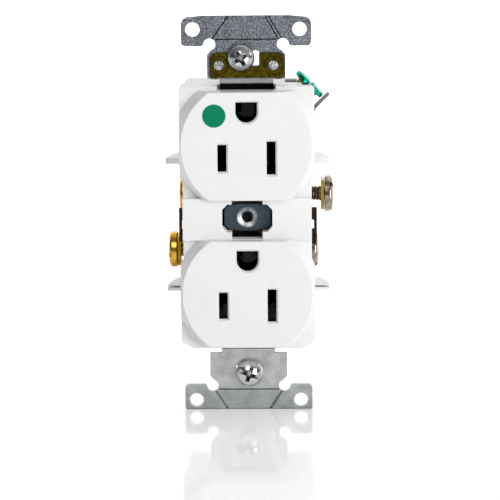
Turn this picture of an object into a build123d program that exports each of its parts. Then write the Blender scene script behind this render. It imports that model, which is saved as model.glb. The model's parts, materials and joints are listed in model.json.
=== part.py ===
from build123d import *
import math
import os

# Duplex wall receptacle, 15 A 125 V pattern, on a steel mounting strap. Millimetres.
# Origin: midway between the two mounting slots, on the strap's rear face.
# +X is the viewer's right, the outlet faces -Y, and +Z is up.

# ---- Driving dimensions ----
mount_pitch = 83.34          # between the centres of the mounting slots, along Z
outlet_pitch = 38.9          # between the centres of the two outlet faces, along Z
blade_pitch = 12.7           # between the two blade slots, along X

# Depths along Y
face_y = -7.6                # the two raised faces
panel_y = -5.0               # middle panel between the faces
flange_y = -3.2              # front of the cover's flange
strap_t = 1.3                # sheet thickness of the strap
strap_in_y = 3.0             # front of the strap where it runs inside the body
split_y = 4.0                # joint between cover and base
base_rear_y = 19.6
floor_y = 16.1               # inner floor of the base

# Cover
cover_half_x = 17.55
cover_half_z = 34.7
top_corner_r = 1.2
bottom_chamfer_x = 3.2
bottom_chamfer_z = 1.6
base_corner_r = 1.2
flange_edge_r = 0.35
waist_half_x = 16.8
waist_half_z = 13.25
face_r = 17.06
face_foot_r = 19.0
face_half_z = 14.14
wall = 1.6
cover_inner_half_z = 33.0
face_t = 1.1                 # sheet of plastic round the openings
middle_t = 2.6
opening_half_x = 6.55
opening_half_z = 3.65
opening_rise = 0.25           # the opening sits a little above the middle
opening_corner = 1.4
neck_slot_half_x = 4.0
neck_slot_half_z = 5.2
marking_recess = 0.3
edge_r = 0.4
cover_corner_u = 34.4        # the corner behind the flange is cut off here, beside the ground screw
cover_corner_y = -1.6

# Plug openings, placed from each face's centre
blade_drop = 3.02            # blade slots sit this far below the face's centre
ground_rise = 8.98           # centre of the ground opening's round part
slot_w = 2.3
hot_slot_h = 7.0
neutral_slot_h = 8.6
ground_r = 2.78
ground_flat = 2.5            # from the round part's centre up to the flat
rim_bevel = 0.55
dot_x = -8.31
dot_rise = 8.05
dot_r = 3.0
dot_t = 1.0

# Strap
ear_half_x = 16.85
top_ear_z = 52.7             # outer edge of the upper ear
bottom_ear_z = 51.6
ear_inner_z = 44.85
ear_inner_r = 1.0
ear_hole_x = 13.82
ear_hole_z = 49.12
ear_hole_r = 1.85
notch_x = 9.5
notch_depth = 1.95           # from an ear's inner edge
notch_r = 1.55
notch_mouth_r = 0.4
plate_half_x = 10.15
plate_inner_z = 36.4
plate_shoulder_z = 42.6
plate_top_half_x = 7.95
neck_half_x = 7.0
spine_half_x = 3.05
slot_half_x = 3.3
slot_half_z = 1.94
slot_corner_r = 0.4
score_depth = 0.4
thin_score_w = 0.3
wide_score_w = 0.6
top_crease_z = 46.6
bottom_crease_z = 46.2
platform_half_x = 6.0
platform_half_z = 3.2
platform_corner = 1.2
jog_outer_z = 35.2
jog_inner_z = 34.4
platform_bend_z = 3.5
platform_foot_z = 7.2
strap_ground_hole_r = 3.7
centre_hole_r = 1.4
funnel_r = 2.75
funnel_h = 0.7
collar_r = 2.5
collar_y = 2.2

# Terminals: four screws along X and one at 45 degrees
terminal_mid_z = -blade_drop
terminal_half_pitch = 7.45
terminal_y = 10.0
terminal_x = 13.8            # inner face of the terminal plates
terminal_t = 1.0
terminal_half_z = 12.4
gap = 0.1
clamp_t = 0.9
clamp_half_y = 3.9
clamp_half_z = 3.9
head_r = 4.8
head_t = 2.5
ground_head_r = 4.6
ground_head_t = 1.7
screw_r = 2.0
screw_hole_r = 2.06
screw_len = 8.6
thread_pitch = 25.4 / 32
collar_len = 1.2
link_x = 18.2                # outer face of the break-off link
link_y = 4.5
link_w = 1.2
turns_out_neutral_upper = 5.5
turns_out_neutral_lower = 0.5
turns_out_hot_lower = 3.75
turns_out_ground = 2.0
ground_axis_w = -12.2        # offset of the ground screw's axis from the 45 degree diagonal
ground_pad_u = 31.0          # inner face of the ground pad, along the diagonal
ground_pad_half_w = 3.2
ground_clamp_half = 3.1
ground_screw_len = 7.2
ear_guard_u = 37.2
ear_guard_w = -7.3           # inner face of the upright beside the ground screw
ear_guard_t = 0.8
ear_guard_half_y = 1.6

# Grounding clip
clip_t = 0.6
clip_h = 6.4
clip_x = 0.25
clip_z = 39.85
clip_ring_r = 2.6
spring_t = 0.5
spring_foot_z = 36.1

# Contacts
brass_t = 0.8
strip_floor_y = 15.2
jaw_front_y = 4.8
jaw_gap = 1.3                # between the two leaves at the pinch
jaw_depth = 7.0
rib_inner_x = 3.3
rib_outer_x = 4.1
ground_jaw_rear_y = 14.0
ground_leaf_t = 0.7
plate_screw_clearance_r = 2.0
rivet_hole_r = 0.8
clip_rivet_hole_r = 0.95

# Fasteners
case_screw_x = 12.8
case_screw_z_top = 23.0
case_screw_z_bottom = -29.6
case_screw_r = 1.3
boss_r = 2.5
mount_screw_r = 1.7
mount_neck_r = 1.5
mount_thread_y = 3.4
mount_head_r = 3.6
mount_head_t = 2.6
mount_screw_x_top = -1.37
mount_screw_x_bottom = 0.25
mount_screw_rise_top = 0.2   # how high the screw stands in its slot
mount_screw_rise_bottom = 0.1
top_head_stands_off = 0.15   # from the clip plate
bottom_head_stands_off = 0.9
mount_screw_tip_y = 17.5
retainer_r = 3.0
retainer_t = 0.9
retainer_y = 1.9

# Fins that stand out from the base beside the terminals
fin_half_x = 21.6
fin_t = 1.6
fin_front_y = 6.4
fin_rear_y = 16.4
fin_rise = 16.8              # from the terminals' middle to an upper fin's centre
fin_drop = 17.3
fin_lip_t = 0.3              # thin lip above the slit in each lower fin
fin_slit_h = 0.5
fin_slit_depth = 5.5

upper_z = outlet_pitch / 2
lower_z = -outlet_pitch / 2
face_centres = [upper_z, lower_z]
screw_zs = {"upper": terminal_mid_z + terminal_half_pitch, "lower": terminal_mid_z - terminal_half_pitch}
sides = {"hot": -1, "neutral": 1}


# ---- Helpers ----
def slab(sketch, y_front, y_rear):
    """A sketch drawn in X and Z, made solid between two depths."""
    return extrude(Plane.XZ.offset(-y_rear) * sketch, y_rear - y_front)


def slab_x(sketch, x_from, x_to):
    """A sketch drawn in Y and Z, made solid between two X positions."""
    return extrude(Plane.YZ.offset(x_from) * sketch, x_to - x_from)


def rod(r, y_front, y_rear, x=0.0, z=0.0):
    return slab(Pos(x, z) * Circle(r), y_front, y_rear)


def block(x0, x1, y0, y1, z0, z1):
    size = Box(abs(x1 - x0), abs(y1 - y0), abs(z1 - z0))
    return Pos((x0 + x1) / 2, (y0 + y1) / 2, (z0 + z1) / 2) * size


def solid_polygon(points):
    return make_face(Polyline(*points, close=True))


def ribbon(points, thickness):
    """Cross-section of bent sheet: a line of (y, z) points, thickened towards +Y with mitred bends."""
    normals = []
    for (y0, z0), (y1, z1) in zip(points, points[1:]):
        length = math.hypot(y1 - y0, z1 - z0)
        normals.append(((z0 - z1) / length, (y1 - y0) / length))
    far_side = []
    for i, (y, z) in enumerate(points):
        before = normals[max(i - 1, 0)]
        after = normals[min(i, len(normals) - 1)]
        scale = thickness / (1 + before[0] * after[0] + before[1] * after[1])
        far_side.append((y + scale * (before[0] + after[0]), z + scale * (before[1] + after[1])))
    return solid_polygon(points + far_side[::-1])


# ---- Face cover ----
def ground_opening():
    top = Pos(0, ground_flat / 2) * Rectangle(2 * ground_r, ground_flat)
    lower_half = Pos(0, -ground_r / 2) * Rectangle(2 * ground_r, ground_r)
    return (Circle(ground_r) & lower_half) + top


def openings(zc):
    """The three plug openings of one outlet, each with its place."""
    blade_z = zc - blade_drop
    hot = Pos(-blade_pitch / 2, blade_z) * Rectangle(slot_w, hot_slot_h)
    neutral = Pos(blade_pitch / 2, blade_z) * Rectangle(slot_w, neutral_slot_h)
    ground = Pos(0, zc + ground_rise) * ground_opening()
    return [hot, neutral, ground]


def body_outline():
    """Front view of the body: round corners at the top, cut corners below, narrower at the terminals."""
    points = [
        (-cover_half_x, cover_half_z),
        (cover_half_x, cover_half_z),
        (cover_half_x, -cover_half_z + bottom_chamfer_z),
        (cover_half_x - bottom_chamfer_x, -cover_half_z),
        (-cover_half_x + bottom_chamfer_x, -cover_half_z),
        (-cover_half_x, -cover_half_z + bottom_chamfer_z),
    ]
    shape = solid_polygon(points)
    top_corners = shape.vertices().sort_by(Axis.Y)[-2:]
    shape = fillet(top_corners, top_corner_r)
    depth = cover_half_x - waist_half_x
    for side in (-1, 1):
        cut = [
            (side * (cover_half_x + 0.1), terminal_mid_z - waist_half_z - depth),
            (side * waist_half_x, terminal_mid_z - waist_half_z + depth),
            (side * waist_half_x, terminal_mid_z + waist_half_z - depth),
            (side * (cover_half_x + 0.1), terminal_mid_z + waist_half_z + depth),
        ]
        shape -= solid_polygon(cut)
    return shape


def face_island(zc):
    height = flange_y - face_y
    foot = Cone(face_foot_r, face_r, height, align=(Align.CENTER, Align.CENTER, Align.MIN))
    island = Plane.XZ.offset(-flange_y) * Pos(0, zc, 0) * foot
    limit = block(-cover_half_x, cover_half_x, face_y, flange_y, zc - face_half_z, zc + face_half_z)
    island &= limit
    front = island.faces().sort_by(Axis.Y)[0]
    return fillet(front.edges(), edge_r)


def octagon(half_x, half_z, corner):
    return chamfer(Rectangle(2 * half_x, 2 * half_z).vertices(), corner)


def case_screw_places():
    places = []
    for side in (-1, 1):
        places.append((side * case_screw_x, case_screw_z_top))
        places.append((side * case_screw_x, case_screw_z_bottom))
    return places


def face_cover():
    body = slab(body_outline(), flange_y, split_y)
    front = body.faces().sort_by(Axis.Y)[0]
    body = fillet(front.edges(), flange_edge_r)
    inner_x = waist_half_x - wall
    body -= slab(RectangleRounded(2 * inner_x, 2 * cover_inner_half_z, 1.5), flange_y + 1.8, split_y)
    for zc in face_centres:
        body += face_island(zc)
        hollow = Pos(0, zc) * Circle(face_r - wall)
        hollow &= Pos(0, zc) * Rectangle(60, 2 * (face_half_z - wall))
        body -= slab(hollow, face_y + face_t, flange_y + 2)
    middle_half = upper_z - face_half_z + 0.2
    body += block(-waist_half_x, waist_half_x, panel_y, panel_y + middle_t, -middle_half, middle_half)
    body -= block(-7.0, waist_half_x, panel_y, panel_y + marking_recess, -middle_half, middle_half)
    for zc in face_centres:
        for opening in openings(zc):
            body -= slab(opening, face_y, face_y + face_t)
            body -= extrude(Plane.XZ.offset(-(face_y + rim_bevel)) * opening, rim_bevel, taper=-40)
    well = Pos(0, opening_rise) * octagon(opening_half_x, opening_half_z, opening_corner)
    well += Rectangle(2 * neck_slot_half_x, 2 * neck_slot_half_z)
    body -= slab(well, panel_y, split_y)
    for x, z in case_screw_places():
        body += rod(boss_r, flange_y + 1, split_y, x, z)
        body -= rod(case_screw_r + 0.03, flange_y + 2.2, split_y, x, z)
    half = neck_half_x + 0.6
    body -= block(-half, half, flange_y, split_y, upper_z + face_half_z, cover_half_z)
    body -= block(-half, half, flange_y + 1.5, split_y, cover_inner_half_z - 1, upper_z + face_half_z)
    body -= block(-half, half, flange_y + 1.5, split_y, -cover_half_z, -cover_inner_half_z + 1)
    w0 = ground_axis_w - 6.0
    w1 = ground_axis_w + 6.2
    body -= diagonal_block(cover_corner_u, 45, cover_corner_y, split_y, w0, w1)
    body -= rod(dot_r + 0.02, face_y, face_y + dot_t, dot_x, upper_z + dot_rise)
    return body


def hospital_dot():
    return rod(dot_r, face_y, face_y + dot_t, dot_x, upper_z + dot_rise)


# ---- Base ----
def fin(side, sign):
    z = terminal_mid_z + (fin_rise if sign > 0 else -fin_drop)
    points = [
        (side * (waist_half_x - 1), fin_front_y),
        (side * fin_half_x, fin_front_y),
        (side * fin_half_x, fin_front_y + 1.2),
        (side * (fin_half_x - 2.2), fin_rear_y),
        (side * (waist_half_x - 1), fin_rear_y),
    ]
    outline = solid_polygon(points)
    body = extrude(Pos(0, 0, z - fin_t / 2) * outline, fin_t)
    if sign < 0:
        slit_top = z + fin_t / 2 - fin_lip_t
        x0 = side * (waist_half_x + 0.2)
        x1 = side * (fin_half_x + 1)
        body -= block(x0, x1, fin_front_y, fin_front_y + fin_slit_depth, slit_top - fin_slit_h, slit_top)
    return body


def diagonal_block(u0, u1, y0, y1, w0, w1):
    """A box laid along the 45 degree diagonal: u outward, w across."""
    part = block(u0, u1, y0, y1, -w1, -w0)
    return Rot(0, -45, 0) * part


def base():
    outline = RectangleRounded(2 * waist_half_x, 2 * (cover_half_z - 0.5), base_corner_r)
    body = slab(outline, split_y, base_rear_y)
    inner_x = waist_half_x - wall
    body -= slab(RectangleRounded(2 * inner_x, 2 * (cover_inner_half_z - 0.4), 1.5), split_y, floor_y)
    for side in sides.values():
        window = terminal_half_z + 0.3
        z0 = terminal_mid_z - window
        z1 = terminal_mid_z + window
        body -= block(side * 11, side * (waist_half_x + 1), split_y, floor_y, z0, z1)
        for end in (z0 - wall, z1):
            x1 = side * waist_half_x
            body += block(side * 9.6, x1, split_y + 1.3, strip_floor_y - 0.2, end, end + wall)
        body += block(side * rib_inner_x, side * rib_outer_x, 8, floor_y, -31, 31)
        body += fin(side, 1) + fin(side, -1)
        for z in screw_zs.values():
            for step in (-3.6, 3.6):
                body -= rod(1.3, floor_y - 1, base_rear_y, side * 15.3, z + step)
    for x, z in case_screw_places():
        body += rod(boss_r, split_y, floor_y, x, z)
        body -= rod(case_screw_r + 0.2, split_y, base_rear_y, x, z)
        body -= rod(2.6, base_rear_y - 1.8, base_rear_y, x, z)
    half = neck_half_x + 0.6
    for sign in (-1, 1):
        z0 = sign * (cover_inner_half_z - 1.0)
        body -= block(-half, half, split_y, strap_in_y + strap_t + 0.4, z0, sign * cover_half_z)
    corner = diagonal_block(ground_pad_u - 0.1, 45, split_y, 15.0, ground_axis_w - 5.0, ground_axis_w + 6.2)
    body -= corner
    return body


# ---- Mounting strap ----
def ear_outline(half_x, outer_z, square_outer):
    """One ear, drawn above the plate: the upper ear's outer edge falls away at its ends."""
    if square_outer:
        outer = [(half_x, outer_z - 0.4), (half_x - 0.4, outer_z)]
    else:
        outer = [(half_x, outer_z - 2.0), (half_x - 0.5, outer_z - 0.9), (half_x - 1.5, outer_z - 0.4)]
        outer += [(half_x - 5.6, outer_z)]
    cut = ear_inner_r * 0.3
    inner = [
        (half_x - ear_inner_r, ear_inner_z),
        (half_x - cut, ear_inner_z + cut),
        (half_x, ear_inner_z + ear_inner_r),
    ]
    right = inner + outer
    left = [(-x, z) for x, z in reversed(right)]
    return solid_polygon(right + left)


def notch_outline(side):
    """Opening between an ear and the plate, with a straight outer side."""
    centre_z = ear_inner_z + notch_depth - notch_r
    round_end = Pos(side * notch_x, centre_z) * Circle(notch_r)
    mouth = [
        (side * (notch_x + notch_r), centre_z),
        (side * (notch_x + notch_r + notch_mouth_r), ear_inner_z - 0.01),
        (side * plate_top_half_x, ear_inner_z - 0.01),
        (side * (notch_x - notch_r), centre_z),
    ]
    return round_end + solid_polygon(mouth)


def strap_outline():
    shape = Rectangle(2 * spine_half_x, 70)
    shape += Pos(0, upper_z + ground_rise) * Rectangle(2 * neck_half_x, 11)
    shape += Pos(0, lower_z + ground_rise) * Rectangle(2 * (neck_half_x - 0.5), 10)
    shape += octagon(platform_half_x, platform_half_z, platform_corner)
    for sign, outer_z in ((1, top_ear_z), (-1, bottom_ear_z)):
        end = ear_outline(ear_half_x, outer_z, sign < 0)
        plate = [
            (-plate_half_x, plate_inner_z),
            (plate_half_x, plate_inner_z),
            (plate_half_x, plate_shoulder_z),
            (plate_top_half_x, ear_inner_z),
            (plate_top_half_x, ear_inner_z + 1),
            (-plate_top_half_x, ear_inner_z + 1),
            (-plate_top_half_x, ear_inner_z),
            (-plate_half_x, plate_shoulder_z),
        ]
        end += solid_polygon(plate)
        end += Pos(0, plate_inner_z - 3.5) * Rectangle(2 * neck_half_x, 8)
        for side in (-1, 1):
            end -= notch_outline(side)
            end -= Pos(side * ear_hole_x, ear_hole_z) * Circle(ear_hole_r)
        end -= Pos(0, mount_pitch / 2) * RectangleRounded(2 * slot_half_x, 2 * slot_half_z, slot_corner_r)
        shape += end if sign > 0 else mirror(end, Plane.XZ)
    for zc in face_centres:
        shape -= Pos(0, zc + ground_rise) * Circle(strap_ground_hole_r)
    return shape


def strap_line():
    """Front face of the strap from top to bottom, as (y, z)."""
    top = [
        (-strap_t, top_ear_z + 1),
        (-strap_t, jog_outer_z),
        (strap_in_y, jog_inner_z),
        (strap_in_y, platform_foot_z),
        (-strap_t, platform_bend_z),
    ]
    return top + [(y, -z) for y, z in reversed(top)]


def mounting_strap():
    line = [(y, z) for y, z in strap_line()]
    bent = slab_x(ribbon(line[::-1], -strap_t), -20, 20)
    strap = bent & slab(strap_outline(), -10, 10)
    strap += rod(collar_r, -0.5, collar_y)
    strap -= rod(centre_hole_r, -strap_t, collar_y)
    funnel = Cone(centre_hole_r, funnel_r, funnel_h, align=(Align.CENTER, Align.CENTER, Align.MIN))
    strap -= Plane.XZ.offset(strap_t - funnel_h) * funnel
    for x, z in rivet_places():
        strap -= rod(clip_rivet_hole_r, -5, 8, x, z)
    for x, z in contact_rivet_places():
        strap -= rod(rivet_hole_r, -5, 8, x, z)
    for x0, z0, x1, z1, width in score_lines():
        strap -= groove(x0, z0, x1, z1, width)
    return strap


def score_lines():
    """Grooves along which the ears' ends break off, and the creases below them, as x0, z0, x1, z1, width."""
    lines = [
        (-4.6, top_ear_z, -8.8, ear_inner_z + 1.85, thin_score_w),
        (4.9, top_ear_z, 8.15, ear_inner_z + 1.9, thin_score_w),
        (5.7, top_ear_z, 9.25, ear_inner_z + 1.9, thin_score_w),
        (-8.0, top_crease_z, 8.0, top_crease_z, thin_score_w),
        (-8.0, -bottom_crease_z, 8.0, -bottom_crease_z, thin_score_w),
    ]
    for side in (-1, 1):
        lines.append((side * 5.55, -bottom_ear_z, side * 8.8, -ear_inner_z - 1.7, wide_score_w))
    return lines


def groove(x0, z0, x1, z1, width):
    dx = x1 - x0
    dz = z1 - z0
    angle = math.degrees(math.atan2(dz, dx))
    middle = Pos((x0 + x1) / 2, (z0 + z1) / 2)
    strip = middle * Rot(0, 0, angle) * Rectangle(math.hypot(dx, dz), width)
    return slab(strip, -strap_t, -strap_t + score_depth)


# ---- Grounding ----
def rivet_places():
    return [(-7.05, 39.95), (7.05, 39.95)]


def contact_rivet_places():
    return [(0, 9.6), (0, -28.6), (-5.0, 31.2), (5.0, 31.2)]


def ground_clip_plate():
    """Brass plate on the strap's front, cut away round the mounting screw, dimpled round its rivets."""
    outline = RectangleRounded(19.1, clip_h, 1.6)
    lower = Pos(0, -clip_h / 4) * Rectangle(19.1, clip_h / 2)
    front = Pos(clip_x, clip_z) * (outline + lower)
    front -= Pos(0, clip_z + 2.5) * Rectangle(2 * slot_half_x + 0.4, 5.8)
    front_y = -strap_t - clip_t
    plate = slab(front, front_y, -strap_t)
    for x, z in rivet_places():
        ring = Circle(clip_ring_r) - Circle(clip_ring_r - 0.45)
        plate -= slab(Pos(x, z) * ring, front_y, front_y + 0.2)
        plate -= rod(clip_rivet_hole_r, -5, 0, x, z)
    return plate


def ground_clip_spring():
    """Spring leaf on the strap's rear, with two feet bent back beside the neck."""
    rear = Pos(0, 40.0) * Rectangle(18.4, 7.2)
    rear -= Pos(0, mount_pitch / 2) * Rectangle(2 * slot_half_x + 1.0, 2 * slot_half_z + 1.2)
    leaf = slab(rear, 0.0, spring_t)
    for side in (-1, 1):
        leaf += block(side * 7.3, side * 9.2, 0.0, spring_t, spring_foot_z, 36.6)
        leaf += block(side * 7.3, side * 9.2, 0.0, 1.8, spring_foot_z, spring_foot_z + spring_t)
    for x, z in rivet_places():
        leaf -= rod(clip_rivet_hole_r, -1, 2, x, z)
    return leaf


def clip_rivets():
    rivets = []
    for x, z in rivet_places():
        front = -strap_t - clip_t
        rivet = rod(0.93, front, spring_t, x, z)
        rivet += rod(1.25, front - 0.55, front, x, z)
        rivet += rod(1.4, spring_t, spring_t + 0.5, x, z)
        rivets.append(rivet)
    return rivets


def ground_contact_strip():
    y0 = strap_in_y + strap_t
    y1 = y0 + brass_t
    shape = Pos(0, 1) * Rectangle(5.2, 63)
    for zc in face_centres:
        shape += Pos(0, zc + ground_rise) * Rectangle(12.0, 8.0)
        shape -= Pos(0, zc + ground_rise) * Circle(2.8)
    shape += Pos(0, 31.2) * Rectangle(12.8, 2.4)
    shape -= Circle(plate_screw_clearance_r)
    for x, z in contact_rivet_places():
        shape -= Pos(x, z) * Circle(rivet_hole_r)
    strip = slab(shape, y0, y1)
    for zc in face_centres:
        z = zc + ground_rise
        for side in (-1, 1):
            leaf = [(side * 3.2, y0), (side * 3.2, 12.6), (side * 2.5, ground_jaw_rear_y)]
            outer = leaf
            inner = [(x - side * ground_leaf_t, y) for x, y in leaf]
            outline = solid_polygon(outer + inner[::-1])
            strip += extrude(Pos(0, 0, z - 2.6) * outline, 5.2)
    return strip


def contact_rivets():
    y0 = strap_in_y
    y1 = strap_in_y + strap_t + brass_t
    rivets = []
    for x, z in contact_rivet_places():
        rear = y1 + 0.8 if x > 1 else y1
        rivet = rod(0.77, y0 - 0.1, rear + 0.1, x, z)
        rivet += rod(1.3, y0 - 0.5, y0, x, z)
        rivet += rod(1.3, rear, rear + 0.5, x, z)
        rivets.append(rivet)
    return rivets


def ground_terminal():
    y0 = strap_in_y + strap_t + brass_t
    tongue = block(3.4, 13.4, y0, y0 + 0.8, 30.9, 32.4)
    w0 = ground_axis_w - ground_pad_half_w
    w1 = ear_guard_w + ear_guard_t
    pad = diagonal_block(ground_pad_u, ground_pad_u + terminal_t, y0, 14.5, w0, w1)
    guard_y0 = terminal_y - ear_guard_half_y
    guard_y1 = terminal_y + ear_guard_half_y
    guard = diagonal_block(ground_pad_u, ear_guard_u, guard_y0, guard_y1, ear_guard_w, w1)
    part = tongue + pad + guard
    for x, z in contact_rivet_places():
        part -= rod(rivet_hole_r, 0, 8, x, z)
    return part - on_ground_axis(rod_x(screw_hole_r, 20, 50))


# ---- Terminals ----
def rod_x(r, x_from, x_to):
    return slab_x(Circle(r), x_from, x_to)


def on_ground_axis(part):
    """Moves a part built along X onto the ground screw's axis."""
    return Rot(0, -45, 0) * Pos(0, terminal_y, -ground_axis_w) * part


def terminal_screw(head_x, length, radius=head_r, thickness=head_t):
    """Binding-head screw along +X: round head, cross and slot recess, plain shank for its thread."""
    outer_x = head_x + thickness
    head = rod_x(radius, head_x, outer_x)
    outer = head.faces().sort_by(Axis.X)[-1]
    head = fillet(outer.edges(), 0.36 * thickness)
    recess_x = outer_x - 0.44 * thickness
    head -= block(recess_x, outer_x, -radius, radius, -0.6, 0.6)
    head -= block(recess_x, outer_x, -0.6, 0.6, -2.2, 2.2)
    return head + rod_x(screw_r, head_x - length, head_x + 0.1)


def clamp_plate(inner_x, half_y=clamp_half_y, half_z=clamp_half_z):
    outline = RectangleRounded(2 * half_y, 2 * half_z, 0.8)
    outline -= Circle(screw_r + 0.08)
    return slab_x(outline, inner_x, inner_x + clamp_t)


def placed_terminal(side, z, part):
    moved = Pos(0, terminal_y, z) * part
    if side < 0:
        moved = mirror(moved, Plane.YZ)
    return moved


def contact_strip(side):
    """One conductor: terminal plates, break-off link, floor strip and two blade jaws, in one piece."""
    x0 = terminal_x
    x1 = terminal_x + terminal_t
    mid = terminal_mid_z
    rear = strip_floor_y + brass_t
    z_low = lower_z - blade_drop - 4
    z_high = upper_z - blade_drop + 4
    strip = block(x0, x1, link_y, rear, mid - terminal_half_z, mid + terminal_half_z)
    strip -= block(x0, x1, 0, 20, mid - 1.6, mid + 1.6)
    for sign in (-1, 1):
        strip += block(x0, link_x, link_y, link_y + link_w, mid + sign * 1.2, mid + sign * 4.5)
    strip += block(link_x - brass_t, link_x, link_y, link_y + link_w, mid - 3.0, mid + 3.0)
    for sign in (-1, 1):
        strip += block(4.5, x1, strip_floor_y, rear, mid + sign * 6.5, mid + sign * 10.5)
    blade_x = blade_pitch / 2
    strip += block(4.5, 8.2, strip_floor_y, rear, z_low, z_high)
    for zc in face_centres:
        z = zc - blade_drop
        for hand in (-1, 1):
            far = blade_x + hand * 1.75
            near = blade_x + hand * jaw_gap / 2
            leaf = [(far, strip_floor_y + 0.2), (far, 9.0), (near + hand * 0.5, 7.0), (far, jaw_front_y)]
            inner = [(x - hand * 0.5, y) for x, y in leaf]
            outline = solid_polygon(leaf + inner[::-1])
            strip += extrude(Pos(0, 0, z - jaw_depth / 2) * outline, jaw_depth)
    for z in screw_zs.values():
        strip += Pos(0, terminal_y, z) * rod_x(3.1, x0 - collar_len, x0 + 0.1)
        strip -= Pos(0, terminal_y, z) * rod_x(screw_hole_r, 8, 15)
    return mirror(strip, Plane.YZ) if side < 0 else strip


# ---- Mounting and case fasteners ----
def mounting_screw(x, z, head_y):
    screw = rod(mount_neck_r, head_y - 0.1, mount_thread_y, x, z)
    screw += rod(mount_screw_r, mount_thread_y, mount_screw_tip_y, x, z)
    dome_r = 4.1
    head = rod(mount_head_r, head_y - mount_head_t, head_y, x, z)
    head &= Pos(x, head_y - mount_head_t + dome_r, z) * Sphere(dome_r)
    top = head_y - mount_head_t
    head -= block(x - 1.9, x + 1.9, top, top + 1.4, z - 0.4, z + 0.4)
    head -= block(x - 0.4, x + 0.4, top, top + 1.4, z - 1.9, z + 1.9)
    return screw + head


def screw_retainer(x, z):
    sheet = Pos(x, z) * (Circle(retainer_r) - Circle(mount_neck_r + 0.06))
    return slab(sheet, retainer_y, retainer_y + retainer_t)


def case_screws():
    screws = []
    for x, z in case_screw_places():
        screw = rod(case_screw_r, flange_y + 2.6, base_rear_y - 1.7, x, z)
        head = rod(2.4, base_rear_y - 1.8, base_rear_y - 0.4, x, z)
        head -= block(x - 1.5, x + 1.5, base_rear_y - 1.2, base_rear_y, z - 0.3, z + 0.3)
        head -= block(x - 0.3, x + 0.3, base_rear_y - 1.2, base_rear_y, z - 1.5, z + 1.5)
        screws.append(screw + head)
    return screws


# ---- Assembly ----
def build_nodes():
    nodes = {
        "face_cover": face_cover(),
        "base": base(),
        "mounting_strap": mounting_strap(),
        "grade_dot": hospital_dot(),
        "ground_clip_plate": ground_clip_plate(),
        "ground_clip_spring": ground_clip_spring(),
        "clip_rivets": clip_rivets(),
        "ground_contact_strip": ground_contact_strip(),
        "contact_rivets": contact_rivets(),
        "ground_terminal": ground_terminal(),
        "case_screws": case_screws(),
    }
    turns_out = {
        ("neutral", "upper"): turns_out_neutral_upper,
        ("neutral", "lower"): turns_out_neutral_lower,
        ("hot", "lower"): turns_out_hot_lower,
    }
    for name, side in sides.items():
        nodes[name + "_contact_strip"] = contact_strip(side)
        for level, z in screw_zs.items():
            out = turns_out.get((name, level), 0.0) * thread_pitch
            clamp_x = terminal_x + terminal_t + gap + out
            screw = terminal_screw(clamp_x + clamp_t + gap, screw_len)
            nodes[f"terminal_screw_{name}_{level}"] = placed_terminal(side, z, screw)
            nodes[f"clamp_plate_{name}_{level}"] = placed_terminal(side, z, clamp_plate(clamp_x))
    ground_clamp_x = ground_pad_u + terminal_t + gap + turns_out_ground * thread_pitch
    ground_head_x = ground_clamp_x + clamp_t + gap
    ground_screw = terminal_screw(ground_head_x, ground_screw_len, ground_head_r, ground_head_t)
    nodes["ground_screw"] = on_ground_axis(ground_screw)
    ground_clamp = clamp_plate(ground_clamp_x, ground_clamp_half, ground_clamp_half)
    nodes["ground_clamp_plate"] = on_ground_axis(ground_clamp)
    top_z = mount_pitch / 2 + mount_screw_rise_top
    bottom_z = -mount_pitch / 2 + mount_screw_rise_bottom
    ends = [
        ("top", mount_screw_x_top, top_z, -strap_t - clip_t - top_head_stands_off),
        ("bottom", mount_screw_x_bottom, bottom_z, -strap_t - bottom_head_stands_off),
    ]
    for level, x, z, head_y in ends:
        nodes["mounting_screw_" + level] = mounting_screw(x, z, head_y)
        nodes["screw_retainer_" + level] = screw_retainer(x, z)
    return nodes


def main():
    os.makedirs("parts", exist_ok=True)
    for name, part in build_nodes().items():
        if isinstance(part, list):
            part = Compound(children=[s for p in part for s in p.solids()])
        export_step(part, f"parts/{name}.step")


main()
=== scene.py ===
import json
import math

import bmesh
import bpy
from mathutils import Matrix, Vector


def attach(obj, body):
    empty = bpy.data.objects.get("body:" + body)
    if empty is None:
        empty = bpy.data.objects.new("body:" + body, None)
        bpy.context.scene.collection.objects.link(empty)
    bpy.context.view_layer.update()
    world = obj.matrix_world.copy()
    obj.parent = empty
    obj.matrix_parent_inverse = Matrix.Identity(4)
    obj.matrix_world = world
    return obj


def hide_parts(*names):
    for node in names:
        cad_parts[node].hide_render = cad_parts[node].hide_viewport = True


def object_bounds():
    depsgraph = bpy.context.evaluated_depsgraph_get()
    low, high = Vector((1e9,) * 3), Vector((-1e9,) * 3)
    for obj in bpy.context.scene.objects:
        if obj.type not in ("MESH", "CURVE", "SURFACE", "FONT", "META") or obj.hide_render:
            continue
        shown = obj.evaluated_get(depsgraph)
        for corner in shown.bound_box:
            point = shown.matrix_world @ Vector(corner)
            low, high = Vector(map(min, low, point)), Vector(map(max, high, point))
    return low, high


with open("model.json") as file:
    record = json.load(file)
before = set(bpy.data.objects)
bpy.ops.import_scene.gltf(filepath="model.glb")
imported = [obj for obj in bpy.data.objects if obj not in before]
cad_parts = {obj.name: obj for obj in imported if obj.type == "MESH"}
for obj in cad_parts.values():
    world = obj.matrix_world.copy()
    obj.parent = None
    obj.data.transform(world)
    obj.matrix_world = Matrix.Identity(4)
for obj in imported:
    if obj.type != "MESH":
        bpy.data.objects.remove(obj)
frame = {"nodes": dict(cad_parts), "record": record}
cad_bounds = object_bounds()

MM = 0.001
IMAGE_LENS = 182.0           # millimetres, on a 36 mm sensor

# Strength of the surroundings, and power of the two lights in watts
FRONT_LOW = 0.10
FRONT_HIGH = 0.32
BEHIND = 1.25
LEFT_SHARE = 0.35
KEY_POWER = 8.0
FILL_POWER = 2.9

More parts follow.
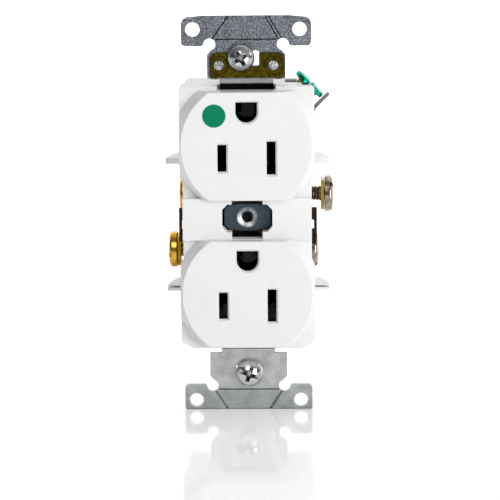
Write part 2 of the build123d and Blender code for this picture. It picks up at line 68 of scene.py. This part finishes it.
# Heights where the strap's colour changes, in metres: painted shade on the lower ear and the upper
# half, a painted reflection on the neck, painted shadow inside the body and painted shade on the
# middle platform
EAR_FADE = (-0.0485, -0.044)
NECK_FADE = (0.0366, 0.0376)
HALVES_FADE = (-0.03, -0.018)
ENCLOSED_SHADOW_FADE = (0.0342, 0.0352)
PLATFORM_FADE = (0.008, 0.012)

# Radii where the painted highlight on the ring and the painted shade in the bore, round the strap's
# middle, end, in metres
RING_HIGHLIGHT_FADE = (0.0023, 0.0028)
BORE_SHADE_FADE = (0.00142, 0.0016)

# Screws, in metres
THREAD_PITCH = 0.79375 * MM
CUT_CLEARANCE = 0.5 * MM     # how far the slot's cutter stands above the head
CROSS_CLEARANCE = 0.3 * MM
SCREW_SEGMENTS = 56

nodes = frame["nodes"]
joints = {joint["name"]: joint for joint in frame["record"]["behaviour"]["joints"]}
floor_z = cad_bounds[0].z


# ---- Camera ----
def add_camera():
    """The photographer's camera, fitted to the mounting slots, ear holes and plug openings."""
    pitch = math.radians(10.68)
    yaw = math.radians(-1.18)
    roll = math.radians(-0.47)
    level = math.cos(pitch)
    forward = Vector((math.sin(yaw) * level, math.cos(yaw) * level, -math.sin(pitch)))
    level_right = Vector((math.cos(yaw), -math.sin(yaw), 0))
    level_up = level_right.cross(forward)
    right = level_right * math.cos(roll) + level_up * math.sin(roll)
    up = level_up * math.cos(roll) - level_right * math.sin(roll)
    data = bpy.data.cameras.new("camera")
    data.lens = IMAGE_LENS
    data.sensor_width = 36.0
    data.clip_start = 0.05
    data.clip_end = 20
    camera = bpy.data.objects.new("camera", data)
    turn = Matrix((right, up, -forward)).transposed().to_4x4()
    place = Vector((14.0, -652.0, 114.0)) * MM
    camera.matrix_world = Matrix.Translation(place) @ turn
    bpy.context.scene.collection.objects.link(camera)
    bpy.context.scene.camera = camera


# ---- Materials ----
def new_material(name):
    material = bpy.data.materials.new(name)
    material.use_nodes = True
    tree = material.node_tree
    return material, tree, tree.nodes["Principled BSDF"]


def noise(tree, scale, detail=3.0, roughness=0.55):
    coords = tree.nodes.new("ShaderNodeTexCoord")
    node = tree.nodes.new("ShaderNodeTexNoise")
    node.inputs["Scale"].default_value = scale
    node.inputs["Detail"].default_value = detail
    node.inputs["Roughness"].default_value = roughness
    tree.links.new(coords.outputs["Object"], node.inputs["Vector"])
    return node.outputs["Fac"]


def ramp(tree, factor, stops):
    node = tree.nodes.new("ShaderNodeValToRGB")
    tree.links.new(factor, node.inputs["Fac"])
    elements = node.color_ramp.elements
    while len(elements) < len(stops):
        elements.new(0.5)
    for element, (position, colour) in zip(elements, stops):
        element.position = position
        element.color = (*colour, 1)
    return node.outputs["Color"]


def blend_colours(tree, factor, first, second, mode="MIX"):
    """Mixes two colour outputs, or multiplies them."""
    node = tree.nodes.new("ShaderNodeMix")
    node.data_type = "RGBA"
    node.blend_type = mode
    node.clamp_factor = True
    if isinstance(factor, float):
        node.inputs["Factor"].default_value = factor
    else:
        tree.links.new(factor, node.inputs["Factor"])
    tree.links.new(first, node.inputs[6])
    tree.links.new(second, node.inputs[7])
    return node.outputs[2]


def grey(value):
    return (value, value, value)


def soft_edges(tree, radius):
    """Normals rounded over the sharp edges of a sheet or a moulding."""
    node = tree.nodes.new("ShaderNodeBevel")
    node.samples = 4
    node.inputs["Radius"].default_value = radius
    return node.outputs["Normal"]


def bump(tree, shader, height, strength, distance, edge_radius):
    node = tree.nodes.new("ShaderNodeBump")
    node.inputs["Strength"].default_value = strength
    node.inputs["Distance"].default_value = distance
    tree.links.new(height, node.inputs["Height"])
    tree.links.new(soft_edges(tree, edge_radius), node.inputs["Normal"])
    tree.links.new(node.outputs["Normal"], shader.inputs["Normal"])


def painted_crevice_shade(tree, colour, distance, darkest):
    """Darkens a colour in grooves and recesses by their ambient occlusion: painted shade."""
    node = tree.nodes.new("ShaderNodeAmbientOcclusion")
    node.samples = 8
    node.inputs["Distance"].default_value = distance
    shade = ramp(tree, node.outputs["AO"], [(0.45, grey(darkest)), (0.9, grey(1.0))])
    return blend_colours(tree, 1.0, colour, shade, "MULTIPLY")


def height_fade(tree, span, mirrored=False):
    """0 below a span of heights and 1 above it, or by the distance from the middle if mirrored."""
    coords = tree.nodes.new("ShaderNodeTexCoord")
    split = tree.nodes.new("ShaderNodeSeparateXYZ")
    fade = tree.nodes.new("ShaderNodeMapRange")
    fade.inputs["From Min"].default_value, fade.inputs["From Max"].default_value = span
    tree.links.new(coords.outputs["Object"], split.inputs["Vector"])
    height = split.outputs["Z"]
    if mirrored:
        distance = tree.nodes.new("ShaderNodeMath")
        distance.operation = "ABSOLUTE"
        tree.links.new(height, distance.inputs[0])
        height = distance.outputs["Value"]
    tree.links.new(height, fade.inputs["Value"])
    return fade.outputs["Result"]


def ring_fade(tree, span):
    """1 inside a span of distances from the strap's middle axis and 0 outside it."""
    coords = tree.nodes.new("ShaderNodeTexCoord")
    flat = tree.nodes.new("ShaderNodeVectorMath")
    flat.operation = "MULTIPLY"
    flat.inputs[1].default_value = (1, 0, 1)
    distance = tree.nodes.new("ShaderNodeVectorMath")
    distance.operation = "LENGTH"
    fade = tree.nodes.new("ShaderNodeMapRange")
    fade.inputs["From Max"].default_value, fade.inputs["From Min"].default_value = span
    tree.links.new(coords.outputs["Object"], flat.inputs[0])
    tree.links.new(flat.outputs["Vector"], distance.inputs[0])
    tree.links.new(distance.outputs["Value"], fade.inputs["Value"])
    return fade.outputs["Result"]


def moulded_plastic(name, colour, darker, roughness, specular=0.45):
    """Plastic with a faint cloud in its colour, a fine texture and softened edges."""
    material, tree, shader = new_material(name)
    cloud = noise(tree, 90, 2)
    tree.links.new(ramp(tree, cloud, [(0.35, darker), (0.65, colour)]), shader.inputs["Base Color"])
    fine = noise(tree, 3500, 4)
    low, high = grey(roughness - 0.04), grey(roughness + 0.05)
    tree.links.new(ramp(tree, fine, [(0.3, low), (0.7, high)]), shader.inputs["Roughness"])
    bump(tree, shader, fine, 0.12, 0.00002, 0.00012)
    shader.inputs["Specular IOR Level"].default_value = specular
    return material


def plated_metal(
    name, dark, light, rough_low, rough_high,
    grain=2600, depth=0.00003, strength=0.35, darkest_shade=0.35, reach=0.0006,
):
    """Metal with a fine grain, uneven polish, and painted shade within reach of grooves, darkest
    where they are most enclosed.
    """
    material, tree, shader = new_material(name)
    shader.inputs["Metallic"].default_value = 1.0
    fine = noise(tree, grain, 5, 0.65)
    colour = ramp(tree, fine, [(0.32, dark), (0.68, light)])
    # Painted shade: ambient occlusion darkens the colour in grooves and recesses
    tree.links.new(painted_crevice_shade(tree, colour, reach, darkest_shade), shader.inputs["Base Color"])
    cloud = noise(tree, grain * 0.22, 4)
    low, high = grey(rough_low), grey(rough_high)
    tree.links.new(ramp(tree, cloud, [(0.35, low), (0.65, high)]), shader.inputs["Roughness"])
    bump(tree, shader, fine, strength, depth, 0.0001)
    return material


def galvanised_sheet(name):
    """Zinc-plated strap: spangle painted dark above and smoother and pale below as painted shade,
    with painted shadow inside the body and painted shade and highlight round its middle.
    """
    material, tree, shader = new_material(name)
    shader.inputs["Metallic"].default_value = 1.0
    speckle = noise(tree, 2300, 4, 0.7)
    blotch = noise(tree, 420, 3, 0.6)

    def spangle(*stops):
        return ramp(tree, speckle, stops)

    # Painted shade: the upper half's spangle is darker than the lower half's
    shade, middle, shine = (0.06, 0.067, 0.085), (0.22, 0.24, 0.275), (0.58, 0.6, 0.64)
    upper = spangle((0.36, shade), (0.5, middle), (0.66, shine))
    # Painted reflection: the neck below the top ear is paler, as if reflecting the white body
    neck = spangle((0.3, (0.34, 0.35, 0.36)), (0.7, (0.58, 0.59, 0.6)))
    lower = spangle((0.3, (0.52, 0.54, 0.535)), (0.7, (0.74, 0.76, 0.75)))
    # Painted shade: the lower ear is darker than the plate above it
    shaded_lower_ear = spangle((0.3, (0.34, 0.36, 0.37)), (0.7, (0.6, 0.62, 0.63)))
    # Painted shadow: the strap is near black where it runs inside the body
    enclosed_shadow = spangle((0.3, grey(0.008)), (0.7, grey(0.02)))
    # Painted shade on the recessed middle platform, a painted highlight on the ring round its bore,
    # and painted shade in the bore
    platform = spangle((0.3, (0.06, 0.08, 0.105)), (0.7, (0.10, 0.125, 0.15)))
    ring_highlight = spangle((0.35, (0.2, 0.22, 0.24)), (0.65, (0.85, 0.87, 0.88)))
    bore_shade = spangle((0.3, grey(0.01)), (0.7, grey(0.03)))

    lower = blend_colours(tree, height_fade(tree, EAR_FADE), shaded_lower_ear, lower)
    upper = blend_colours(tree, height_fade(tree, NECK_FADE), neck, upper)
    colour = blend_colours(tree, height_fade(tree, HALVES_FADE), lower, upper)
    colour = blend_colours(tree, height_fade(tree, ENCLOSED_SHADOW_FADE, mirrored=True), enclosed_shadow, colour)
    platform = blend_colours(tree, ring_fade(tree, RING_HIGHLIGHT_FADE), platform, ring_highlight)
    platform = blend_colours(tree, ring_fade(tree, BORE_SHADE_FADE), platform, bore_shade)
    colour = blend_colours(tree, height_fade(tree, PLATFORM_FADE, mirrored=True), platform, colour)
    stains = ramp(tree, blotch, [(0.3, grey(0.78)), (0.6, grey(1.0))])
    colour = blend_colours(tree, 1.0, colour, stains, "MULTIPLY")
    tree.links.new(painted_crevice_shade(tree, colour, 0.0005, 0.03), shader.inputs["Base Color"])
    polish = ramp(tree, blotch, [(0.3, grey(0.34)), (0.7, grey(0.5))])
    tree.links.new(polish, shader.inputs["Roughness"])
    bump(tree, shader, speckle, 0.3, 0.00003, 0.00012)
    return material


def dress(material, *names):
    for name in names:
        for slot in nodes[name].material_slots:
            slot.material = material


# ---- Screws ----
def lathe_mesh(name, outline, turns_per_metre, thread, segments):
    """Turns an outline of (radius, height) points round +Z, with a thread in one span of heights."""
    thread_low, thread_high, depth = thread
    crest_width = 1.25
    mesh = bmesh.new()
    rings = []
    for radius, height in outline:
        if radius == 0:
            rings.append([mesh.verts.new((0, 0, height))])
            continue
        ring = []
        for i in range(segments):
            angle = 2 * math.pi * i / segments
            r = radius
            if thread_low <= height <= thread_high:
                phase = (height * turns_per_metre - i / segments) % 1.0
                ridge = 1 - abs(2 * phase - 1)
                to_end = min(height - thread_low, thread_high - height)
                fade = min(1.0, to_end * turns_per_metre)
                r = radius - depth * (1 - min(1.0, crest_width * ridge)) * fade
            ring.append(mesh.verts.new((r * math.cos(angle), r * math.sin(angle), height)))
        rings.append(ring)
    for lower, upper in zip(rings, rings[1:]):
        for i in range(segments):
            j = (i + 1) % segments
            if len(lower) == 1:
                mesh.faces.new((lower[0], upper[j], upper[i]))
            elif len(upper) == 1:
                mesh.faces.new((lower[i], lower[j], upper[0]))
            else:
                mesh.faces.new((lower[i], lower[j], upper[j], upper[i]))
    bmesh.ops.recalc_face_normals(mesh, faces=mesh.faces)
    data = bpy.data.meshes.new(name)
    mesh.to_mesh(data)
    mesh.free()
    return data


def prism_mesh(name, top_points, bottom_points, top, bottom):
    """A closed solid between two outlines with the same number of points, at two heights."""
    mesh = bmesh.new()
    upper = [mesh.verts.new((x, y, top)) for x, y in top_points]
    lower = [mesh.verts.new((x, y, bottom)) for x, y in bottom_points]
    mesh.faces.new(upper)
    mesh.faces.new(lower[::-1])
    count = len(upper)
    for i in range(count):
        j = (i + 1) % count
        mesh.faces.new((upper[i], lower[i], lower[j], upper[j]))
    bmesh.ops.recalc_face_normals(mesh, faces=mesh.faces)
    data = bpy.data.meshes.new(name)
    mesh.to_mesh(data)
    mesh.free()
    return data


def cross_outline(reach, half_width):
    """Four arms with filled inner corners, anticlockwise."""
    points = []
    corner = half_width * 1.25
    for quarter in range(4):
        angle = quarter * math.pi / 2
        cosine, sine = math.cos(angle), math.sin(angle)
        for x, y in ((reach, -half_width), (reach, half_width), (corner, corner)):
            points.append((x * cosine - y * sine, x * sine + y * cosine))
    return points


def cut(target, cutter_mesh):
    """Takes one closed mesh out of another for good."""
    cutter = bpy.data.objects.new("cutter", cutter_mesh)
    bpy.context.scene.collection.objects.link(cutter)
    modifier = target.modifiers.new("cut", "BOOLEAN")
    modifier.operation = "DIFFERENCE"
    modifier.solver = "EXACT"
    modifier.object = cutter
    bpy.context.view_layer.update()
    graph = bpy.context.evaluated_depsgraph_get()
    result = bpy.data.meshes.new_from_object(target.evaluated_get(graph))
    target.modifiers.remove(modifier)
    target.data = result
    bpy.data.objects.remove(cutter)


def arc_points(centre_r, centre_h, radius, start, end, steps):
    points = []
    for i in range(steps + 1):
        angle = math.radians(start + (end - start) * i / steps)
        r = max(0.0, centre_r + radius * math.cos(angle))
        points.append((r, centre_h + radius * math.sin(angle)))
    return points


def shank_points(radius, neck, neck_radius):
    """From the tip's centre, at height 0, up to the neck below the head."""
    rings_per_turn = 10
    tip_chamfer = 0.4 * MM
    points = [(0.0, 0.0), (radius * 0.72, 0.0)]
    count = int((neck - 0.6 * MM) / THREAD_PITCH * rings_per_turn)
    for i in range(count + 1):
        points.append((radius, tip_chamfer + (neck - 0.5 * MM) * i / count))
    points.append((neck_radius, neck))
    return points


def screw_piece(name, node, joint_name, material, head_shape, spin):
    """A threaded screw in place of a CAD screw, found from its joint's axis and its own extent."""
    joint = joints[joint_name]
    axis = Vector(joint["axis"]).normalized()
    origin = Vector(joint["pos_m"])
    along = [(vertex.co - origin).dot(axis) for vertex in nodes[node].data.vertices]
    length = max(along) - min(along)
    shape = head_shape(length)
    thread = (0.0, shape["thread_end"], shape["thread_depth"])
    data = lathe_mesh(name, shape["outline"], 1 / THREAD_PITCH, thread, SCREW_SEGMENTS)
    piece = bpy.data.objects.new(name, data)
    bpy.context.scene.collection.objects.link(piece)
    half = shape["slot_half"]
    wide = shape["slot_reach"]
    slot_box = [(wide, -half), (wide, half), (-wide, half), (-wide, -half)]
    slot_floor = length - shape["slot_depth"]
    cut(piece, prism_mesh("slot", slot_box, slot_box, length + CUT_CLEARANCE, slot_floor))
    reach = shape["cross_reach"]
    wide_cross = cross_outline(reach * 1.12, half * 1.05)
    deep_cross = cross_outline(reach * 0.45, half * 0.6)
    cross_floor = length - shape["cross_depth"]
    cut(piece, prism_mesh("cross", wide_cross, deep_cross, length + CROSS_CLEARANCE, cross_floor))
    for polygon in piece.data.polygons:
        polygon.use_smooth = True
    piece.data.set_sharp_from_angle(angle=math.radians(38))
    up = Vector((0, 0, 1)).rotation_difference(axis).to_matrix().to_4x4()
    start = origin + axis * min(along)
    turn = Matrix.Rotation(math.radians(spin), 4, "Z")
    piece.matrix_world = Matrix.Translation(start) @ up @ turn
    piece.data.transform(piece.matrix_world)
    piece.matrix_world = Matrix.Identity(4)
    piece.data.materials.clear()
    piece.data.materials.append(material)
    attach(piece, joint["child"])
    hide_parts(node)
    return piece


def pan_head(length):
    """Round-topped mounting screw with a plain neck for its retainer."""
    under = length - 2.6 * MM
    radius = 3.6 * MM
    dome = 4.1 * MM
    neck_radius = 1.5 * MM
    thread_top = 14.1 * MM
    rim = 0.12 * MM
    rim_drop = dome - math.sqrt(dome * dome - radius * radius)
    start = math.degrees(math.asin((dome - rim_drop) / dome))
    neck_top = under - 1.0 * MM
    outline = shank_points(1.7 * MM, thread_top, neck_radius)
    outline += [(neck_radius, neck_top), (neck_radius, under)]
    outline += [(radius - rim, under), (radius, under + rim)]
    outline += [(radius - 0.001 * MM, length - rim_drop - 0.01 * MM)]
    outline += arc_points(0.0, length - dome, dome, start + 1, 90, 14)[:-1]
    outline += [(0.0, length)]
    return {
        "outline": outline,
        "thread_end": thread_top - 0.05 * MM,
        "thread_depth": 0.32 * MM,
        "slot_depth": 1.15 * MM,
        "slot_half": 0.5 * MM,
        "slot_reach": 2.9 * MM,
        "cross_reach": 2.35 * MM,
        "cross_depth": 2.1 * MM,
    }


def binding_head(length, radius, thickness, under_cut):
    """Wide, slightly crowned head, hollowed underneath to hold the wire."""
    under = length - thickness
    neck_radius = 1.62 * MM
    edge = 0.34 * thickness
    crown = 0.16 * thickness
    hollow = under + under_cut
    outline = shank_points(2.0 * MM, under - 0.9 * MM, neck_radius)
    outline += [(neck_radius, hollow), (radius - 0.9 * MM, hollow), (radius - 0.55 * MM, under)]
    outline += [(radius - 0.15 * MM, under), (radius, under + 0.15 * MM)]
    outline += arc_points(radius - edge, length - crown - edge, edge, 0, 78, 7)
    outline += [(radius * 0.6, length - 0.3 * crown), (radius * 0.3, length - 0.05 * crown)]
    outline += [(0.0, length)]
    return {
        "outline": outline,
        "thread_end": under - 0.95 * MM,
        "thread_depth": 0.36 * MM,
        "slot_depth": 0.44 * thickness,
        "slot_half": 0.6 * MM,
        "slot_reach": radius + 1 * MM,
        "cross_reach": 2.1 * MM,
        "cross_depth": min(0.78 * thickness, 1.9 * MM),
    }


def wide_head(length):
    return binding_head(length, 4.8 * MM, 2.5 * MM, 0.35 * MM)


def ground_head(length):
    return binding_head(length, 4.6 * MM, 1.7 * MM, 0.2 * MM)


# ---- Stage ----
def add_floor():
    """A pale floor that sweeps up into a backdrop behind the object, and glows faintly in front and
    brightly behind: painted light that fills the object and washes out the shadows on the floor.
    """
    material, tree, shader = new_material("floor_white")
    shader.inputs["Base Color"].default_value = (0.9, 0.9, 0.9, 1)
    shader.inputs["Roughness"].default_value = 0.07
    shader.inputs["IOR"].default_value = 1.55
    # Painted light: the floor's glow rises from front to back
    glow = tree.nodes.new("ShaderNodeMapRange")
    glow.interpolation_type = "SMOOTHSTEP"
    glow.inputs["From Min"].default_value = -0.05
    glow.inputs["From Max"].default_value = 0.4
    glow.inputs["To Min"].default_value = 0.17
    glow.inputs["To Max"].default_value = 0.85
    coords = tree.nodes.new("ShaderNodeTexCoord")
    split = tree.nodes.new("ShaderNodeSeparateXYZ")
    tree.links.new(coords.outputs["Object"], split.inputs["Vector"])
    tree.links.new(split.outputs["Y"], glow.inputs["Value"])
    tree.links.new(glow.outputs["Result"], shader.inputs["Emission Strength"])
    shader.inputs["Emission Color"].default_value = (1, 1, 1, 1)
    half_width = 2.6
    front = -2.2
    sweep_start = 1.3
    sweep_radius = 0.7
    steps = 12
    rows = [(front, floor_z), (sweep_start, floor_z)]
    for i in range(1, steps + 1):
        angle = math.radians(90 * i / steps)
        rise = sweep_radius * (1 - math.cos(angle))
        rows.append((sweep_start + sweep_radius * math.sin(angle), floor_z + rise))
    rows.append((sweep_start + sweep_radius, floor_z + half_width))
    vertices = [(x, y, z) for y, z in rows for x in (-half_width, half_width)]
    faces = [(2 * i, 2 * i + 1, 2 * i + 3, 2 * i + 2) for i in range(len(rows) - 1)]
    mesh = bpy.data.meshes.new("floor")
    mesh.from_pydata(vertices, [], faces)
    floor = bpy.data.objects.new("floor", mesh)
    bpy.context.scene.collection.objects.link(floor)
    floor.data.materials.append(material)


def add_light(name, place, size, power):
    """A square soft light aimed at the object."""
    data = bpy.data.lights.new(name, "AREA")
    data.size = size
    data.energy = power
    light = bpy.data.objects.new(name, data)
    light.location = place
    light.rotation_mode = "QUATERNION"
    light.rotation_quaternion = (-Vector(place)).to_track_quat("-Z", "Y")
    bpy.context.scene.collection.objects.link(light)


def add_world():
    """Studio surroundings: pale behind the object and overhead, dimmer in front."""
    world = bpy.data.worlds.new("studio")
    world.use_nodes = True
    tree = world.node_tree
    background = tree.nodes["Background"]
    coords = tree.nodes.new("ShaderNodeTexCoord")
    split = tree.nodes.new("ShaderNodeSeparateXYZ")
    tree.links.new(coords.outputs["Generated"], split.inputs["Vector"])
    behind = tree.nodes.new("ShaderNodeMapRange")
    behind.interpolation_type = "SMOOTHSTEP"
    behind.inputs["From Min"].default_value = -0.25
    behind.inputs["From Max"].default_value = 0.35
    behind.inputs["To Min"].default_value = 0.0
    behind.inputs["To Max"].default_value = BEHIND
    tree.links.new(split.outputs["Y"], behind.inputs["Value"])
    above = tree.nodes.new("ShaderNodeMapRange")
    above.interpolation_type = "SMOOTHSTEP"
    above.inputs["From Min"].default_value = 0.05
    above.inputs["From Max"].default_value = 0.75
    above.inputs["To Min"].default_value = FRONT_LOW
    above.inputs["To Max"].default_value = FRONT_HIGH
    tree.links.new(split.outputs["Z"], above.inputs["Value"])
    brighter = tree.nodes.new("ShaderNodeMath")
    brighter.operation = "MAXIMUM"
    tree.links.new(behind.outputs["Result"], brighter.inputs[0])
    tree.links.new(above.outputs["Result"], brighter.inputs[1])
    sideways = tree.nodes.new("ShaderNodeMapRange")
    sideways.inputs["From Min"].default_value = -0.9
    sideways.inputs["From Max"].default_value = 0.5
    sideways.inputs["To Min"].default_value = LEFT_SHARE
    tree.links.new(split.outputs["X"], sideways.inputs["Value"])
    total = tree.nodes.new("ShaderNodeMath")
    total.operation = "MULTIPLY"
    tree.links.new(brighter.outputs["Value"], total.inputs[0])
    tree.links.new(sideways.outputs["Result"], total.inputs[1])
    tree.links.new(total.outputs["Value"], background.inputs["Strength"])
    background.inputs["Color"].default_value = (1, 1, 1, 1)
    bpy.context.scene.world = world


def add_lights():
    add_world()
    add_light("key", (0.74, -0.9, 0.22), 0.5, KEY_POWER)
    add_light("fill", (-0.25, -0.9, 0.7), 0.6, FILL_POWER)


white = moulded_plastic("white_plastic", (0.84, 0.84, 0.838), (0.82, 0.82, 0.817), 0.34)
green_dot = moulded_plastic("green_dot", (0.0, 0.22, 0.11), (0.0, 0.2, 0.1), 0.6, specular=0.12)
zinc = galvanised_sheet("zinc_steel")
terminal_zinc = plated_metal(
    "terminal_zinc", (0.1, 0.105, 0.115), (0.36, 0.37, 0.39), 0.3, 0.45, grain=1800,
)
# Painted shade: occlusion darkens the cross recesses and threads
zinc_bright = plated_metal(
    "zinc_bright", (0.5, 0.51, 0.52), (0.84, 0.85, 0.86), 0.1, 0.22,
    grain=1500, depth=0.00006, strength=0.5, darkest_shade=0.1, reach=0.001,
)
brass = plated_metal(
    "brass", (0.60, 0.30, 0.035), (0.88, 0.50, 0.085), 0.14, 0.28,
    grain=1200, depth=0.00005, strength=0.5,
)
clamp_brass = plated_metal(
    "clamp_brass", (0.24, 0.15, 0.012), (0.66, 0.46, 0.06), 0.2, 0.36, grain=1100,
)
# Painted shade: brass darkened for the dim inside of the body, and occlusion up to 2 cm away darkens
# it to black
shaded_brass = plated_metal(
    "shaded_brass", (0.10, 0.045, 0.025), (0.30, 0.15, 0.09), 0.22, 0.4, darkest_shade=0.0, reach=0.02,
)
# Painted shade: occlusion darkens the dimples and edges strongly
olive = plated_metal(
    "olive_brass", (0.04, 0.033, 0.003), (0.19, 0.145, 0.012), 0.2, 0.36,
    grain=1300, darkest_shade=0.08,
)
# Painted shade: occlusion darkens the thread grooves to near black
nickel = plated_metal(
    "nickel", (0.2, 0.16, 0.125), (0.56, 0.48, 0.39), 0.10, 0.24,
    grain=900, depth=0.00006, strength=0.5, darkest_shade=0.04,
)
peened = plated_metal(
    "peened_zinc", (0.14, 0.145, 0.16), (0.8, 0.8, 0.81), 0.16, 0.34,
    grain=1500, depth=0.00015, strength=0.9,
)
green_metal = plated_metal("green_screw", (0.0, 0.22, 0.14), (0.01, 0.52, 0.36), 0.14, 0.3)
fibre = moulded_plastic("fibre", (0.6, 0.56, 0.45), (0.5, 0.46, 0.36), 0.8)

dress(white, "face_cover", "base")
dress(green_dot, "grade_dot")
dress(zinc, "mounting_strap")
dress(terminal_zinc, "ground_terminal")
dress(peened, "clip_rivets", "contact_rivets")
dress(zinc_bright, "case_screws")
dress(shaded_brass, "hot_contact_strip", "neutral_contact_strip", "ground_contact_strip")
dress(olive, "ground_clip_plate", "ground_clip_spring")
dress(clamp_brass, "ground_clamp_plate")
for side in ("hot", "neutral"):
    dress(clamp_brass, f"clamp_plate_{side}_upper", f"clamp_plate_{side}_lower")
dress(fibre, "screw_retainer_top", "screw_retainer_bottom")

for level, spin in (("top", 28), ("bottom", -20)):
    screw_piece(
        f"box_screw_{level}", f"mounting_screw_{level}", f"mounting_screw_turn_{level}",
        zinc_bright, pan_head, spin,
    )
finishes = {"hot": (brass, "brass"), "neutral": (nickel, "nickel")}
spins = {"hot_upper": 15, "hot_lower": 80, "neutral_upper": 50, "neutral_lower": -30}
for place, spin in spins.items():
    side = place.split("_")[0]
    material, slot_name = finishes[side]
    screw_piece(
        f"binding_screw_{place}", f"terminal_screw_{place}", f"screw_turn_{place}",
        material, wide_head, spin,
    )
screw_piece(
    "binding_screw_ground", "ground_screw", "screw_turn_ground",
    green_metal, ground_head, 90,
)

add_camera()
add_floor()
add_lights()
bpy.context.scene.view_settings.view_transform = "Standard"
